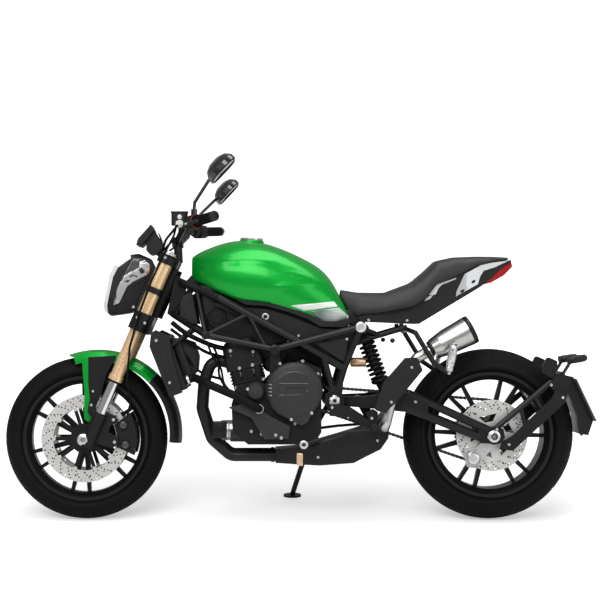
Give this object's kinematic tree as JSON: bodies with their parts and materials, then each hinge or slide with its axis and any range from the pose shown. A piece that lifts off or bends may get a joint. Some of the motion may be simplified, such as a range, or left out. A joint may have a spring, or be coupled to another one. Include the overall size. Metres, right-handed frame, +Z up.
{
  "type": "naked street motorcycle",
  "caption": "Naked street motorcycle on its side stand: green tank and fender, gold fork tubes, tube frame, twin-spoke wheels, short silencer.",
  "frame": {"origin": "middle of the outline's footprint, on the road", "axes": "+X towards the tail, +Y the side it leans to, +Z up"},
  "size_m": [2.176, 1.0094, 1.3639],
  "materials": {
    "tyre_black": "matte",
    "painted_metal_black": "satin",
    "brushed_steel_steel": "brushed",
    "aluminium_gold": "satin",
    "chrome_chrome": "gloss",
    "rubber_black": "matte",
    "matte_plastic_black": "matte",
    "gloss_plastic_black": "gloss",
    "gloss_plastic_grey": "gloss",
    "gloss_plastic_green": "gloss",
    "painted_metal_green": "satin",
    "aluminium_silver": "satin",
    "leather_seat": "matte",
    "gloss_plastic_red": "gloss",
    "matte_plastic_silver": "matte"
  },
  "bodies": {
    "chassis": {"chain": "brushed_steel_steel", "frame_left": "painted_metal_black", "frame_right": "painted_metal_black", "frame_head": "painted_metal_black", "subframe": "painted_metal_black", "pivot_shaft": "brushed_steel_steel", "crankcase": "painted_metal_black", "cylinders": "painted_metal_black", "cylinder_head": "painted_metal_black", "clutch_cover": "painted_metal_black", "side_covers": "painted_metal_black", "radiator": "painted_metal_black", "radiator_shrouds": "matte_plastic_black", "coolant_hose": "rubber_black", "exhaust_headers": "brushed_steel_steel", "exhaust_box": "painted_metal_black", "silencer": "brushed_steel_steel", "heat_shield": "matte_plastic_black", "fuel_tank": "painted_metal_green", "airbox": "matte_plastic_black", "tail_cowl": "matte_plastic_black", "seat": "leather_seat", "tail_panels": "aluminium_silver", "tail_light": "gloss_plastic_red", "swingarm": "painted_metal_black", "rear_axle": "brushed_steel_steel", "number_plate": "matte_plastic_silver", "plate_arms": "painted_metal_black", "rear_indicators": "matte_plastic_black", "rear_shock": "brushed_steel_steel", "footrests": "aluminium_silver", "pillion_hangers": "aluminium_silver", "rear_caliper": "aluminium_silver", "stand_bracket": "painted_metal_black"},
    "steering": {"fork_tubes": "aluminium_gold", "fork_sliders": "chrome_chrome", "fork_feet": "painted_metal_black", "front_axle": "brushed_steel_steel", "triple_clamps": "painted_metal_black", "handlebar": "painted_metal_black", "grips": "rubber_black", "bar_controls": "painted_metal_black", "mirrors": "matte_plastic_black", "headlight": "gloss_plastic_black", "headlight_lens": "gloss_plastic_grey", "headlight_bracket": "painted_metal_black", "instrument": "matte_plastic_black", "front_fender": "gloss_plastic_green", "fender_brackets": "gloss_plastic_green", "front_calipers": "painted_metal_black", "front_brake_hose": "rubber_black"},
    "front_wheel": {"front_tyre": "tyre_black", "front_rim": "painted_metal_black", "front_discs": "brushed_steel_steel"},
    "rear_wheel": {"rear_tyre": "tyre_black", "rear_rim": "painted_metal_black", "rear_disc": "brushed_steel_steel", "rear_sprocket": "brushed_steel_steel"},
    "side_stand": {"side_stand": "painted_metal_black"},
    "fuel_cap": {"fuel_cap": "aluminium_silver"}
  },
  "joints": [
    {"name": "steering", "type": "hinge", "parent": "chassis", "child": "steering", "pos_m": [-0.50074, -0.07099, 0.82841], "axis": [0.3987, 0.1592, 0.9031], "range_deg": [-27, 27]},
    {"name": "front_wheel_spin", "type": "hinge", "parent": "steering", "child": "front_wheel", "pos_m": [-0.788, -0.1648, 0.29635], "axis": [0, 0.9848, -0.1736], "continuous": true},
    {"name": "rear_wheel_spin", "type": "hinge", "parent": "chassis", "child": "rear_wheel", "pos_m": [0.702, -0.1622, 0.31113], "axis": [0, 0.9848, -0.1736], "continuous": true},
    {"name": "side_stand_hinge", "type": "hinge", "parent": "chassis", "child": "side_stand", "pos_m": [0.052, -0.00075, 0.2593], "axis": [0.1852, -0.927, -0.3261], "range_deg": [0, 97.9]},
    {"name": "fuel_cap_hinge", "type": "hinge", "parent": "chassis", "child": "fuel_cap", "pos_m": [-0.218, -0.03735, 1.0192], "axis": [0, -0.9848, 0.1736], "range_deg": [0, 95]}
  ]
}
